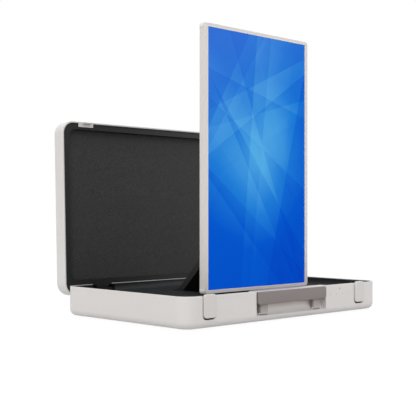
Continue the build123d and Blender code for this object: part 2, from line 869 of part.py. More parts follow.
def arm_frame():
    end = arm_y - arm_length
    half_w = arm_w / 2 - arm_cover_t
    half_t = arm_t / 2 - arm_cover_t
    frame = block(-half_w, half_w, end + arm_neck, arm_y - arm_neck, arm_z - half_t, arm_z + half_t)
    frame += block(-arm_barrel_w / 2, arm_barrel_w / 2, end, arm_y, arm_z - half_t, arm_z + half_t)
    for y in (arm_y, end):
        frame += rod_x(arm_barrel_r, -arm_barrel_w / 2, arm_barrel_w / 2, y, arm_z)
    slot_half = cable_slot_w / 2
    frame -= block(-slot_half, slot_half, end + 2 * arm_neck, arm_y - 2 * arm_neck, 0, 2 * arm_z)
    bay = (arm_length - 4 * arm_neck - arm_web) / 2
    for side in (-1, 1):
        x0, x1 = sorted((side * (cable_slot_w / 2 + arm_web), side * (half_w - arm_web)))
        for n in range(2):
            y0 = end + 2 * arm_neck + n * (bay + arm_web)
            frame -= block(x0, x1, y0, y0 + bay, 0, 2 * arm_z)
    for y in (arm_y, end):
        frame -= rod_x(arm_pin_r + pin_clear, -arm_w, arm_w, y, arm_z)
    return raise_arm(frame)


def arm_cover(up):
    """One half of the arm's plastic cover; up is 1 for the half that faces the lid and -1 for the other."""
    end = arm_y - arm_length
    y0 = end + arm_cover_end
    y1 = arm_y - arm_cover_end
    outer = block(-arm_w / 2, arm_w / 2, y0, y1, arm_z, arm_z + arm_t / 2)
    outer = fillet(outer.edges().group_by(Axis.Z)[-1], arm_edge)
    half_w = arm_w / 2 - arm_cover_t + fit_gap / 2
    inner_top = arm_z + arm_t / 2 - arm_cover_t
    cover = outer - block(-half_w, half_w, end, arm_y, arm_z - 1, inner_top)
    if up < 0:
        cover = cover.rotate(Axis((0, 0, arm_z), (0, 1, 0)), 180)
    return raise_arm(cover)


def arm_cable():
    """The flat cable that runs up the arm, on the lower cover."""
    end = arm_y - arm_length
    low = arm_z - arm_t / 2 + arm_cover_t
    half = cable_slot_w / 2 - 1
    y0 = end + 2 * arm_neck + 1
    y1 = arm_y - 2 * arm_neck - 1
    return raise_arm(block(-half, half, y0, y1, low, low + cable_t))


def arm_bracket():
    """The steel bracket on the floor of the well, with two ears for the arm's lower pin."""
    bracket = slab(well_w - 2, 2 * arm_foot, well_r, well_floor_z, well_floor_z + arm_foot_t, 0, arm_y)
    for side in (-1, 1):
        x0, x1 = sorted((side * (arm_barrel_w / 2 + 1), side * (arm_barrel_w / 2 + 1 + arm_ear_w)))
        bracket += block(x0, x1, arm_y - arm_barrel_r - 1, arm_y + arm_barrel_r + 1, well_floor_z, arm_z)
        bracket += rod_x(arm_barrel_r + 1, x0, x1, arm_y, arm_z)
    return bracket - rod_x(arm_pin_r, -arm_w, arm_w, arm_y, arm_z)


def arm_pin(y, z):
    half = arm_barrel_w / 2 + 1 + arm_ear_w
    return rod_x(arm_pin_r, -half - friction_w, half + friction_w, y, z)


def friction_pack(side, y, z):
    """The stack of washers on the end of a pin that holds the arm where it is put."""
    start = arm_barrel_w / 2 + 1 + arm_ear_w
    step = friction_w / friction_count
    discs = []
    for n in range(friction_count):
        r = arm_barrel_r - 1 - n % 2
        x0, x1 = sorted((side * (start + n * step), side * (start + (n + 1) * step)))
        discs.append(rod_x(r, x0, x1, y, z))
    return sum(discs[1:], discs[0]) - rod_x(arm_pin_r + pin_clear, -arm_w, arm_w, y, z)


# The carrier between the arm and the screen

def carrier_outline(y0, y1, low):
    z = (low + display_mid_z) / 2
    plate = Pos(0, y1, z) * extrude(Plane.XZ * Rectangle(carrier_w, display_mid_z - low), y1 - y0)
    return plate + rod_y(carrier_head_r, y0, y1, 0, display_mid_z)


def carrier_plate():
    y0 = display_back_y + carrier_gap
    y1 = y0 + carrier_t
    plate = carrier_outline(y0, y1, tilt_z - arm_barrel_r)
    plate -= rod_y(swivel_r, y0 - 1, y1 + 1, 0, display_mid_z)
    for side in (-1, 1):
        x0, x1 = sorted((side * (arm_barrel_w / 2 + 1), side * (arm_barrel_w / 2 + 1 + arm_ear_w)))
        r = arm_barrel_r + 1
        high = tilt_z + 3 * r
        low = tilt_z - arm_barrel_r
        inside = y0 + 1
        nose = (tilt_y + r, tilt_z)
        chin = (tilt_y, tilt_z - r)
        line = Polyline((inside, low), (inside, high), (y1, high), nose, chin, (inside, low))
        plate += side_shape(line, x0, x1)
        plate += rod_x(r, x0, x1, tilt_y, tilt_z)
    return plate - rod_x(arm_pin_r, -arm_w, arm_w, tilt_y, tilt_z)


def carrier_cover():
    y0 = display_back_y + carrier_gap + carrier_t
    y1 = y0 + carrier_cover_t
    cover = carrier_outline(y0, y1, tilt_z + 3 * arm_barrel_r + carrier_cover_up)
    cover = fillet(cover.edges().group_by(Axis.Y)[-1], carrier_cover_edge)
    return cover - rod_y(swivel_flange_r, y0 - 1, y1 + 1, 0, display_mid_z)


def swivel_hub():
    """The turned hub on the back of the screen; its shank turns in the carrier."""
    back = display_back_y + carrier_gap + carrier_t + swivel_end_gap
    front = display_back_y - swivel_flange_t
    hub = rod_y(swivel_flange_r, front, display_back_y, 0, display_mid_z)
    hub += rod_y(swivel_r - pin_clear, display_back_y - 1, back, 0, display_mid_z)
    return hub - rod_y(swivel_bore_r, front - 1, back + 1, 0, display_mid_z)


def swivel_retainer():
    y0 = display_back_y + carrier_gap + carrier_t + swivel_end_gap
    y1 = y0 + retainer_t
    ring = rod_y(swivel_flange_r - retainer_gap, y0, y1, 0, display_mid_z)
    return ring - rod_y(swivel_bore_r, y0 - 1, y1 + 1, 0, display_mid_z)


# The screen

def display_block(inset, y0, y1):
    """A plate with the screen's outline, drawn in by inset."""
    r = max(display_r - inset, display_min_r)
    return upright_slab(display_w - 2 * inset, display_h - 2 * inset, r, y0, y1, 0, display_mid_z)


def picture_block(grow, r, y0, y1):
    """A plate with the picture's outline."""
    return upright_slab(active_w + 2 * grow, active_h + 2 * grow, r, y0, y1, 0, display_mid_z)


def display_bezel():
    y = display_front_y
    bezel = display_block(0, y, y + bezel_t)
    bezel = fillet(bezel.edges().group_by(Axis.Y)[0], bezel_edge)
    bezel -= display_block(display_wall, y + bezel_face_t, y + bezel_t + 1)
    return bezel - picture_block(trim_w, trim_r, y - 1, y + bezel_t)


def display_trim():
    """The thin lip round the picture."""
    y = display_front_y
    outer = picture_block(trim_w, trim_r, y - trim_proud, y + bezel_face_t)
    return outer - picture_block(0, display_min_r, y - trim_proud - 1, y + bezel_face_t + 1)


def display_glass():
    y = display_front_y + bezel_face_t
    return display_block(display_wall + fit_gap, y, y + glass_t)


def panel_module():
    y = display_front_y + bezel_face_t + glass_t
    return display_block(display_wall + 1, y, y + panel_module_t)


def display_board():
    """The screen's own electronics, behind the upper half of the panel."""
    y = display_front_y + bezel_face_t + glass_t + panel_module_t
    low = display_mid_z + screen_board_up
    return block(-screen_board_w / 2, screen_board_w / 2, y, y + screen_board_t, low, low + screen_board_h)


def display_mount():
    """The steel plate inside the screen that the hub is screwed to."""
    y1 = display_back_y - swivel_flange_t
    return upright_slab(mount_w, mount_h, mount_r, y1 - mount_t, y1, 0, display_mid_z)


def display_back():
    y0 = display_front_y + bezel_t
    back = display_block(0, y0, display_back_y)
    back = fillet(back.edges().group_by(Axis.Y)[-1], back_edge)
    back -= display_block(display_wall, y0 - 1, display_back_y - display_wall)
    return back - rod_y(swivel_flange_r + fit_gap, y0, display_back_y + 1, 0, display_mid_z)


def corner_bumpers():
    """A soft pad round each rear corner of the screen."""
    body = display_block(0, display_front_y - 1, display_back_y + 1)
    y0 = display_back_y - bumper_t
    y1 = display_back_y - back_edge
    bumpers = []
    for sx in (-1, 1):
        for sz in (-1, 1):
            x0, x1 = sorted((sx * (display_w / 2 - bumper_h), sx * (display_w / 2 + bumper_side)))
            z0, z1 = sorted((sz * (display_h / 2 - bumper_h), sz * (display_h / 2 + bumper_end)))
            pad = block(x0, x1, y0, y1, display_mid_z + z0, display_mid_z + z1)
            uprights = pad.edges().filter_by(Axis.Y)
            outermost = uprights.sort_by(lambda e: sx * e.center().X + sz * e.center().Z)[-1]
            bumpers.append(fillet(outermost, display_r) - body)
    return bumpers


nodes = {
    "base_shell": [base_shell()],
    "base_tray": [base_tray()],
    "rubber_feet": rubber_feet(),
    "battery_pack": [battery_pack()],
    "main_board": [main_board()],
    "heat_sink": [heat_sink()],
    "microphone_board": [microphone_board()],
    "port_panel": [port_panel()],
    "port_sockets": port_sockets(),
    "port_board": [port_board()],
    "power_switch": [power_switch()],
    "power_button": [power_button()],
    "handle_grip": [handle_grip()],
    "handle_bail": [handle_bail()],
    "handle_pins": handle_pins(),
    "latch_pins": at_latches(latch_pin()),
    "latch_springs": at_latches(latch_spring()),
    "lid_hinge_pins": both_sides(hinge_pin()),
    "lid_shell": [open_lid(lid_shell())],
    "lid_frame": [open_lid(lid_frame())],
    "lid_panel": [open_lid(lid_panel())],
    "lid_seal": [open_lid(lid_seal())],
    "lid_catches": [open_lid(catch) for catch in at_latches(lid_catch())],
    "catch_strikers": [open_lid(striker) for striker in at_latches(catch_striker())],
    "arm_frame": [arm_frame()],
    "arm_cover_rear": [arm_cover(1)],
    "arm_cover_front": [arm_cover(-1)],
    "arm_cable": [arm_cable()],
    "arm_bracket": [arm_bracket()],
    "arm_lower_pin": [arm_pin(arm_y, arm_z)],
    "arm_upper_pin": [arm_pin(tilt_y, tilt_z)],
    "lower_friction_packs": [friction_pack(side, arm_y, arm_z) for side in (-1, 1)],
    "upper_friction_packs": [friction_pack(side, tilt_y, tilt_z) for side in (-1, 1)],
    "carrier_plate": [carrier_plate()],
    "carrier_cover": [carrier_cover()],
    "swivel_hub": [swivel_hub()],
    "swivel_retainer": [swivel_retainer()],
    "display_bezel": [display_bezel()],
    "display_trim": [display_trim()],
    "display_glass": [display_glass()],
    "panel_module": [panel_module()],
    "display_board": [display_board()],
    "display_mount": [display_mount()],
    "display_back": [display_back()],
    "corner_bumpers": corner_bumpers(),
}
pairs = {
    "latch_lever": at_latches(latch_lever()),
    "latch_box": at_latches(latch_box()),
    "lid_hinge_leaf": both_sides(hinge_leaf()),
    "lid_hinge_arm": both_sides(open_lid(lid_hinge_arm())),
}
for piece, (left, right) in pairs.items():
    nodes[piece + "_left"] = [left]
    nodes[piece + "_right"] = [right]
for name, side in (("left", -1), ("right", 1)):
    nodes["speaker_box_" + name] = [speaker_box(side)]
    nodes["speaker_drivers_" + name] = speaker_drivers(side)
    nodes["speaker_grille_" + name] = [speaker_grille(side)]

os.makedirs("parts", exist_ok=True)
for name, shapes in nodes.items():
    solids = [solid for shape in shapes for solid in shape.solids()]
    export_step(Compound(children=solids) if len(solids) > 1 else solids[0], "parts/" + name + ".step")
    print(name, len(solids))
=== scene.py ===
import json
import math
import random

import bmesh
import bpy
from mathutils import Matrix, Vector
from mathutils.bvhtree import BVHTree


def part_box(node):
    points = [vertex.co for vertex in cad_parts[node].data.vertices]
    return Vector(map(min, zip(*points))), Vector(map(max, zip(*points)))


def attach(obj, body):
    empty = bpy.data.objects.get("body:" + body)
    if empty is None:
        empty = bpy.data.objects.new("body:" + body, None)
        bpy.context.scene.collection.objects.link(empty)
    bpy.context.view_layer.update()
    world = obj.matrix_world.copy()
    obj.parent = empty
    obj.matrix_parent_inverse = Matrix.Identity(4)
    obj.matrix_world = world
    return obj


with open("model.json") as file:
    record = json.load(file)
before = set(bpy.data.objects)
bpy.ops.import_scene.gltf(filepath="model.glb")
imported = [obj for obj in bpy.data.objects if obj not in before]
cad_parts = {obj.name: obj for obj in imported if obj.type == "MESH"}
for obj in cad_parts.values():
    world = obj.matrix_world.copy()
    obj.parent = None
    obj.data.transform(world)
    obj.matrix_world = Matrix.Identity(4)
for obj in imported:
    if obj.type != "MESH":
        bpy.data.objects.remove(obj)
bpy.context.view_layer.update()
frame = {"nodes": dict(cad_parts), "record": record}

# A television in a hard hinged case. Metres, in the frame of the CAD model: +Z up, the handle on
# the -Y side, the lid on the +Y side.
MM = 0.001

# The camera, at the photograph's angle
CAMERA_AT = (-1.6188, -1.6032, 0.2464)
CAMERA_TURN = (90.0, 0.0, -44.116)
CAMERA_LENS = 79.4
CAMERA_SENSOR = 36.0
CAMERA_SHIFT_Y = 0.0123

# The light: each lamp's direction is from the object to the lamp, its spread is in degrees
WORLD_LIGHT = 0.40
FLOOR_COLOUR = (0.62, 0.62, 0.62)
FLOOR_GLOW = 1.05
FLOOR_VEIL = 0.9
FLOOR_HALF = 30.0
FLOOR_Z = -0.0002
SUNS = (
    ("key", (-0.64, -0.68, 0.37), 0.82, 40.0),
    ("front", (0.57, -0.76, 0.30), 0.78, 50.0),
    ("side", (-0.95, 0.15, 0.27), 0.82, 40.0),
    ("top", (-0.15, -0.10, 1.0), 1.1, 50.0),
    ("back", (0.55, 0.80, 0.50), 0.9, 60.0),
)

# Colours, linear
SHELL = (0.640, 0.612, 0.597)
LEVER = (0.610, 0.582, 0.552)
# The handle's legs: painted shade under the grip, from the darker colour at their top to the lighter one at
# their bottom
BAIL = (0.225, 0.196, 0.186)
BAIL_LOW = (0.44, 0.390, 0.370)
BUMPER = (0.72, 0.70, 0.69)
LIP = (0.80, 0.71, 0.62)
SLATE = (0.0135, 0.0155, 0.0165)
FRAME_SLATE = (0.0112, 0.0122, 0.0132)
LINING = (0.0385, 0.0385, 0.0385)
RUBBER = (0.012, 0.012, 0.012)
ARM_BLACK = (0.0085, 0.0088, 0.0095)
GRILLE = (0.010, 0.010, 0.0105)
TAUPE = (0.198, 0.169, 0.160)
BLACK_METAL = (0.022, 0.0225, 0.024)
STEEL = (0.52, 0.53, 0.54)
BOARD = (0.012, 0.07, 0.03)
CONE = (0.02, 0.02, 0.021)
LENS = (0.012, 0.012, 0.013)
SCREEN_OFF = (0.001, 0.002, 0.004)
WHITE = (1.0, 1.0, 1.0)

# Moulded surfaces: the scale and share of their clouds of tone, and what roughens and raises them
CLOUD_SCALE = 9.0
CLOUD_SHARE = 0.7
CLOUD_ROUGH = 0.06
GRAIN_ROUGH = 0.05
MOULD_SMOOTH = 0.05
GRAIN_BUMP = 0.35
BAIL_GRAIN_SHARE = 0.1

# The lining: the scales of its pebbles, specks and clouds, and what each adds to tone and height
PEBBLE_SCALE = 420.0
PEBBLE_TONE = 0.9
PEBBLE_HEIGHT = 0.6
SPECK_SCALE = 620.0
SPECK_TONE = 1.9
SPECK_HEIGHT = 0.4
SPECK_ROUGH = 0.2
LINING_CLOUD_SCALE = 6.0
LINING_CLOUD_TONE = 0.2
LINING_TONE_FROM = 1.0
LINING_SHADES = (0.55, 1.6)
LINING_BUMP = 0.5

# Brushed metal: its darkest and lightest shades, and what its grain roughens and raises
METAL_SHADES = (0.9, 1.08)
METAL_SMOOTH = 0.06
METAL_GRAIN_ROUGH = 0.12
METAL_BUMP = 0.15
METAL_DEPTH = 0.02 * MM

# The printed boards: the solder mask's two shades, and the copper's, which is lighter
TRACK_SCALE = 90.0
MASK_SHADES = (0.8, 1.1)
COPPER_SHADE = 1.8
MASK_GRAIN = 400.0
MASK_BUMP = 0.1
MASK_DEPTH = 0.05 * MM

# Painted shade with a warm cast from the grip, in the case's recess behind the grip
GRIP_SHADE = (0.500, 0.408, 0.380)
GRIP_SHADE_FROM = 1.5 * MM
GRIP_SHADE_DEPTH = 24 * MM
GRIP_SHADE_SIDE = 8 * MM
GRIP_SHADE_FALL = 17 * MM

# Screws. A head's height, chamfer and socket depth are shares of its radius. The socket's mouth is a
# share of the top, its taper a share of the mouth, and the part that is sunk a share of the height.
SCREW_SIDES = 24
SCREW_HEIGHT = 0.42
SCREW_CHAMFER = 0.16
SCREW_SOCKET = 0.52
SCREW_SOCKET_DEPTH = 0.34
SCREW_SOCKET_TAPER = 0.9
SCREW_SUNK = 0.25

# Head radii, and how far the screws lie from each other or from the edges of what they hold
CASE_SCREW_R = 3.2 * MM
CASE_SCREW_IN = 34 * MM
BACK_SCREW_R = 2.6 * MM
BACK_SCREW_IN = 14 * MM
COVER_SCREW_R = 2.2 * MM
COVER_SCREW_IN = 8 * MM
LEAF_SCREW_R = 2.4 * MM
LEAF_SCREW_PITCH = 16 * MM
LEAF_SCREW_IN = 9 * MM
BRACKET_SCREW_R = 2.8 * MM
BRACKET_SCREW_IN = 7 * MM

# The retainer's screws, on a ring whose radius is a share of the retainer's width
RETAINER_SCREW_R = 2.4 * MM
RETAINER_RING = 0.42

# How far off a line starts that looks for a surface
LOOK_FROM = 100 * MM

# The moulded face of the handle
GRIP_FACE_GAP = 0.4 * MM
GRIP_FACE_BACK = 0.3 * MM
GRIP_FACE_SIDE = 1.1 * MM
GRIP_FACE_LOW = 1.8 * MM
GRIP_FACE_HIGH = 1.5 * MM
GRIP_FACE_R = 7 * MM
GRIP_FACE_EDGE = 1.6 * MM
GRIP_FACE_EDGE_STEPS = 4
GRIP_FACE_STEPS = 8
GRIP_FACE_SHARP = 40.0

# The lamp's lens and the gauze in the sound holes, as domes whose height is a share of their radius
DOME_HEIGHT = 0.12
LAMP_R = 1.5 * MM
LAMP_Z = 62.5 * MM
MIC_R = 0.8 * MM
MIC_Z = 50.0 * MM
MIC_COUNT = 4
MIC_BOARD_SIDE = 8.0 * MM

# The picture on the screen: shafts of light on a blue ground. Lengths are shares of its height.
PICTURE_SEED = 11
RISE_WAY = (-0.45, 0.0, 0.89)
RISE_TONE = (0.20, 0.56)
SHAFT_COUNT = 15
SHAFT_LEAN = 75.0
SHAFT_START = (-0.30, 0.26)
SHAFT_WIDTH = (0.08, 0.24)
SHAFT_GAIN = (-0.15, 0.12, 0.19)
SHAFT_FAR_SIDE = 0.15
SHAFT_END = (0.1, 0.6)
SHAFT_FADE = (0.85, 0.4)
GLOW_REACH = 0.36
GLOW_GAIN = 0.50
HAZE = (0.045, 0.155, 0.68)
HAZE_FROM = 0.12
HAZE_GAIN = 0.6
PICTURE_STOPS = (
    (0.00, (0.0001, 0.045, 0.49)),
    (0.35, (0.0010, 0.092, 0.60)),
    (0.65, (0.0130, 0.200, 0.67)),
    (1.00, (0.0850, 0.400, 0.77)),
)


class Sock:
    """A node's output, which takes part in sums as a number does."""

    def __init__(self, nodes, socket):
        self.nodes = nodes
        self.socket = socket

    def sum(self, operation, *terms):
        return self.nodes.node("ShaderNodeMath", {"operation": operation}, dict(enumerate(terms)))

    def __add__(self, other):
        return self.sum("ADD", self, other)

    def __sub__(self, other):
        return self.sum("SUBTRACT", self, other)

    def __rsub__(self, other):
        return self.sum("SUBTRACT", other, self)

    def __mul__(self, other):
        return self.sum("MULTIPLY", self, other)

    def __gt__(self, other):
        return self.sum("GREATER_THAN", self, other)

    def __lt__(self, other):
        return self.sum("LESS_THAN", self, other)

    __radd__ = __add__
    __rmul__ = __mul__


class Nodes:
    """A node tree of a material, the world or a modifier, whose nodes all come from make()."""

    def __init__(self, tree):
        self.tree = tree

    def put(self, socket, value):
        if isinstance(value, Sock):
            self.tree.links.new(value.socket, socket)
        elif socket.type == "RGBA" and len(value) == 3:
            socket.default_value = (*value, 1.0)
        else:
            socket.default_value = value

    def make(self, kind, settings=None, inputs=None):
        """A node with its settings made first, then the values or links of its sockets."""
        made = self.tree.nodes.new(kind)
        for name, value in (settings or {}).items():
            if name == "stops":
                while len(made.color_ramp.elements) < len(value):
                    made.color_ramp.elements.new(1.0)
                for element, (place, colour) in zip(made.color_ramp.elements, value):
                    element.position = place
                    element.color = (*colour, 1.0)
            else:
                setattr(made, name, value)
        for name, value in (inputs or {}).items():
            self.put(made.inputs[name], value)
        return made

    def out(self, made, name):
        return Sock(self, made.outputs[name])

    def node(self, kind, settings=None, inputs=None, output=0):
        """One output of a new node."""
        return self.out(self.make(kind, settings, inputs), output)

    def ranged(self, value, low, high, at_low, at_high):
        """A value's place between low and high, as a number between at_low and at_high."""
        inputs = {"Value": value, "From Min": low, "From Max": high, "To Min": at_low, "To Max": at_high}
        return self.node("ShaderNodeMapRange", {"clamp": True}, inputs)

    def seen(self):
        """1 for what the camera sees, straight, in a reflection or through glass, and 0 for light."""
        kinds = ("Is Camera Ray", "Is Glossy Ray", "Is Transmission Ray")
        rays = [self.node("ShaderNodeLightPath", output=kind) for kind in kinds]
        return self.node("ShaderNodeMath", {"operation": "MINIMUM"}, {0: rays[0] + rays[1] + rays[2], 1: 1.0})


class Finish(Nodes):
    """A material: a Principled shader whose plain sockets are set by name."""

    def __init__(self, name, **sockets):
        self.material = bpy.data.materials.new(name)
        self.material.use_nodes = True
        super().__init__(self.material.node_tree)
        self.tree.nodes.clear()
        self.shader = self.make("ShaderNodeBsdfPrincipled")
        self.output = self.make("ShaderNodeOutputMaterial")
        self.show(self.out(self.shader, 0))
        for socket, value in sockets.items():
            self.set(socket.replace("_", " "), value)

    def show(self, surface):
        self.put(self.output.inputs["Surface"], surface)

    def set(self, name, value):
        self.put(self.shader.inputs[name], value)

    def place(self):
        """The point's place on the object."""
        return self.node("ShaderNodeTexCoord", output="Object")

    def noise(self, scale, detail=3.0, place=None, rough=0.5):
        settings = {"noise_dimensions": "3D"}
        inputs = {"Vector": place or self.place(), "Scale": scale, "Detail": detail, "Roughness": rough}
        return self.node("ShaderNodeTexNoise", settings, inputs, "Fac")

    def pebbles(self, scale, place):
        """The distance to the nearest of many scattered points."""
        settings = {"feature": "F1", "voronoi_dimensions": "3D"}
        return self.node("ShaderNodeTexVoronoi", settings, {"Vector": place, "Scale": scale}, "Distance")

    def along(self, place, direction, start=0.0):
        """How far a point lies along a direction, from a start."""
        settings = {"operation": "DOT_PRODUCT"}
        return self.node("ShaderNodeVectorMath", settings, {0: place, 1: direction}, "Value") - start

    def between(self, low, high, amount):
        """A colour between two, by amount."""
        return self.node("ShaderNodeMix", {"data_type": "RGBA"}, {0: amount, 6: low, 7: high}, 2)

    def toned(self, colour, darkest, lightest, tone):
        """A colour that goes from its darkest shade to its lightest with tone."""
        return self.between(shade(colour, darkest), shade(colour, lightest), tone)

    def bump(self, height, strength, depth):
        inputs = {"Height": height, "Strength": strength, "Distance": depth}
        self.set("Normal", self.node("ShaderNodeBump", None, inputs))

    def mould(self, place, rough, grain, depth):
        """Sets the gloss and the spark-eroded grain of moulded plastic, and gives its tone."""
        cloud = self.noise(CLOUD_SCALE, 2.0, place)
        fine = self.noise(grain, 2.0, place)
        self.set("Roughness", rough - MOULD_SMOOTH + cloud * CLOUD_ROUGH + fine * GRAIN_ROUGH)
        self.bump(fine, GRAIN_BUMP, depth)
        return cloud * CLOUD_SHARE + fine * (1 - CLOUD_SHARE)


def shade(colour, factor):
    return tuple(channel * factor for channel in colour)


def moulded(name, colour, rough, grain, depth, spread=0.03, **sockets):
    """Moulded plastic, with slight changes of tone and gloss over the piece."""
    finish = Finish(name, **sockets)
    tone = finish.mould(finish.place(), rough, grain, depth)
    finish.set("Base Color", finish.toned(colour, 1 - spread, 1 + spread, tone))
    return finish.material


def case_shell(name, rough, grain, depth, spread):
    """The case's moulded plastic, with painted shade, darker and warmer, in the recess behind the handle."""
    finish = Finish(name)
    place = finish.place()
    plain = finish.toned(SHELL, 1 - spread, 1 + spread, finish.mould(place, rough, grain, depth))
    low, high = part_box("handle_grip")
    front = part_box("base_shell")[0].y
    across = finish.along(place, (1.0, 0.0, 0.0))
    inward = finish.along(place, (0.0, 1.0, 0.0), front)
    height = finish.along(place, (0.0, 0.0, 1.0))
    # Painted shade: the colour darkens and warms in the recess behind the grip, fading out at its ends and
    # below it.
    reach = finish.ranged(inward, 0.0, GRIP_SHADE_FROM, 0.0, 1.0) * (inward < GRIP_SHADE_DEPTH)
    beside = finish.ranged(across, low.x - GRIP_SHADE_SIDE, low.x + GRIP_SHADE_SIDE, 0.0, 1.0)
    beside = beside * finish.ranged(across, high.x - GRIP_SHADE_SIDE, high.x + GRIP_SHADE_SIDE, 1.0, 0.0)
    amount = reach * beside * finish.ranged(height, low.z - GRIP_SHADE_FALL, low.z, 0.0, 1.0)
    finish.set("Base Color", finish.between(plain, GRIP_SHADE, amount))
    return finish.material


def bail_plastic(name, rough, grain, depth):
    """The handle's legs, with painted shade: darker under the grip, lighter towards the bottom."""
    finish = Finish(name)
    place = finish.place()
    fine = finish.noise(grain, 2.0, place)
    height = finish.along(place, (0.0, 0.0, 1.0))
    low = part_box("handle_bail")[0].z
    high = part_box("handle_grip")[0].z
    # Painted shade under the grip: darkest at the top of the legs, lighter towards their bottom, with a
    # little grain.
    unshaded_and_grain = finish.ranged(height, low, high, 1.0, 0.0) * (1 - BAIL_GRAIN_SHARE) + fine * BAIL_GRAIN_SHARE
    finish.set("Base Color", finish.between(BAIL, BAIL_LOW, unshaded_and_grain))
    finish.set("Roughness", rough + fine * GRAIN_ROUGH)
    finish.bump(fine, GRAIN_BUMP, depth)
    return finish.material


def speckled(name, colour, rough, depth):
    """The lining: a matt sheet with a fine pebble grain and light specks."""
    finish = Finish(name, Specular_IOR_Level=0.25)
    place = finish.place()
    pebble = finish.pebbles(PEBBLE_SCALE, place)
    speck = finish.noise(SPECK_SCALE, 2.0, place)
    cloud = finish.noise(LINING_CLOUD_SCALE, 3.0, place)
    tone = pebble * PEBBLE_TONE + speck * SPECK_TONE + cloud * LINING_CLOUD_TONE - LINING_TONE_FROM
    finish.set("Base Color", finish.toned(colour, *LINING_SHADES, tone))
    finish.set("Roughness", rough + speck * SPECK_ROUGH)
    finish.bump(pebble * PEBBLE_HEIGHT + speck * SPECK_HEIGHT, LINING_BUMP, depth)
    return finish.material


def brushed(name, colour, rough, grain_size):
    """Metal with a fine grain, drawn out along the direction in which its size is smallest."""
    finish = Finish(name, Metallic=1.0)
    inputs = {"Vector": finish.place(), "Scale": grain_size}
    grain = finish.noise(1.0, 3.0, finish.node("ShaderNodeMapping", {"vector_type": "POINT"}, inputs))
    finish.set("Base Color", finish.toned(colour, *METAL_SHADES, grain))
    finish.set("Roughness", rough - METAL_SMOOTH + grain * METAL_GRAIN_ROUGH)
    finish.bump(grain, METAL_BUMP, METAL_DEPTH)
    return finish.material


def printed_board(name, rough):
    """Solder mask with copper tracks under it."""
    finish = Finish(name, Roughness=rough)
    dark, light = [shade(BOARD, factor) for factor in MASK_SHADES]
    inputs = {"Vector": finish.place(), "Scale": TRACK_SCALE, "Color1": dark, "Color2": light}
    inputs["Mortar"] = shade(BOARD, COPPER_SHADE)
    finish.set("Base Color", finish.node("ShaderNodeTexBrick", {"offset": 0.5}, inputs))
    finish.bump(finish.noise(MASK_GRAIN), MASK_BUMP, MASK_DEPTH)
    return finish.material


def picture(name, low, high):
    """A made-up wallpaper: crossing shafts of light on blue, a glow in the middle, haze at the upper left."""
    finish = Finish(name, Roughness=0.22, Specular_IOR_Level=0.0, Base_Color=SCREEN_OFF,
                    Emission_Strength=1.0)
    place = finish.place()
    middle = (low + high) / 2
    tall = high.z - low.z
    chance = random.Random(PICTURE_SEED)
    rise = finish.along(place, RISE_WAY, middle.dot(Vector(RISE_WAY)))
    tone = finish.ranged(rise, -tall / 2, tall / 2, *RISE_TONE)
    for n in range(SHAFT_COUNT):
        lean = math.radians(chance.uniform(-SHAFT_LEAN, SHAFT_LEAN))
        across = Vector((math.cos(lean), 0.0, math.sin(lean)))
        down = Vector((math.sin(lean), 0.0, -math.cos(lean)))
        start = middle.dot(across) + chance.uniform(*SHAFT_START) * tall
        width = chance.uniform(*SHAFT_WIDTH) * tall
        gain = chance.choice(SHAFT_GAIN)
        side = finish.along(place, across, start)
        fall = finish.ranged(side, 0.0, width, gain, gain * SHAFT_FAR_SIDE)
        length = finish.along(place, down, middle.dot(down))
        fade = finish.ranged(length, -tall / 2, chance.uniform(*SHAFT_END) * tall, *SHAFT_FADE)
        tone = tone + fall * (side > 0.0) * (side < width) * fade
    reach = finish.node("ShaderNodeVectorMath", {"operation": "DISTANCE"}, {0: place, 1: middle}, "Value")
    tone = tone + finish.ranged(reach, 0.0, GLOW_REACH * tall, GLOW_GAIN, 0.0)
    blue = finish.node("ShaderNodeValToRGB", {"stops": PICTURE_STOPS}, {"Fac": tone})
    haze = finish.ranged(rise, HAZE_FROM * tall, tall / 2, 0.0, HAZE_GAIN)
    finish.set("Emission Color", finish.between(blue, HAZE, haze))
    return finish.material


def finishes():
    """A material for each of the record's slots, and a few more for single pieces."""
    metal = brushed("black_metal", BLACK_METAL, 0.42, (60.0, 2400.0, 2400.0))
    fine = {"grain": 1500.0, "depth": 0.05 * MM}
    return {
        "cream_shell": case_shell("shell_cream", rough=0.44, spread=0.012, **fine),
        "cream_rubber": moulded("bumper_rubber", BUMPER, 0.7, grain=1200.0, depth=0.05 * MM, spread=0.02),
        "peach_lip": moulded("picture_lip", LIP, 0.5, grain=1500.0, depth=0.03 * MM, spread=0.02),
        "slate_plastic": moulded("slate_liner", SLATE, 0.50, grain=1300.0, depth=0.03 * MM, spread=0.08,
                                 Specular_IOR_Level=0.25),
        "speckled_lining": speckled("speckled_lining", LINING, rough=0.66, depth=0.3 * MM),
        "black_rubber": moulded("black_rubber", RUBBER, 0.75, grain=900.0, depth=0.08 * MM, spread=0.1),
        "black_plastic": moulded("arm_black", ARM_BLACK, 0.5, spread=0.08, **fine),
        "grille_black": moulded("grille_black", GRILLE, 0.55, grain=1600.0, depth=0.05 * MM, spread=0.08),
        "taupe_grip": moulded("taupe_grip", TAUPE, 0.52, grain=1700.0, depth=0.05 * MM, spread=0.03),
        "dark_aluminium": metal,
        "steel": brushed("plain_steel", STEEL, 0.34, (2600.0, 80.0, 80.0)),
        "dark_steel": metal,
        "green_board": printed_board("printed_board", rough=0.35),
        "cone_black": moulded("speaker_cone", CONE, 0.7, grain=700.0, depth=0.1 * MM, spread=0.15),
        "screen": picture("picture_face", *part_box("display_trim")),
        "frame": moulded("slate_frame", FRAME_SLATE, 0.55, grain=1300.0, depth=0.06 * MM, spread=0.08,
                         Specular_IOR_Level=0.3),
        "lever": moulded("latch_cream", LEVER, 0.46, spread=0.012, **fine),
        "bail": bail_plastic("bail_grey", 0.5, **fine),
        "lens": moulded("lamp_lens", LENS, 0.3, grain=800.0, depth=0.01 * MM, spread=0.05),
    }


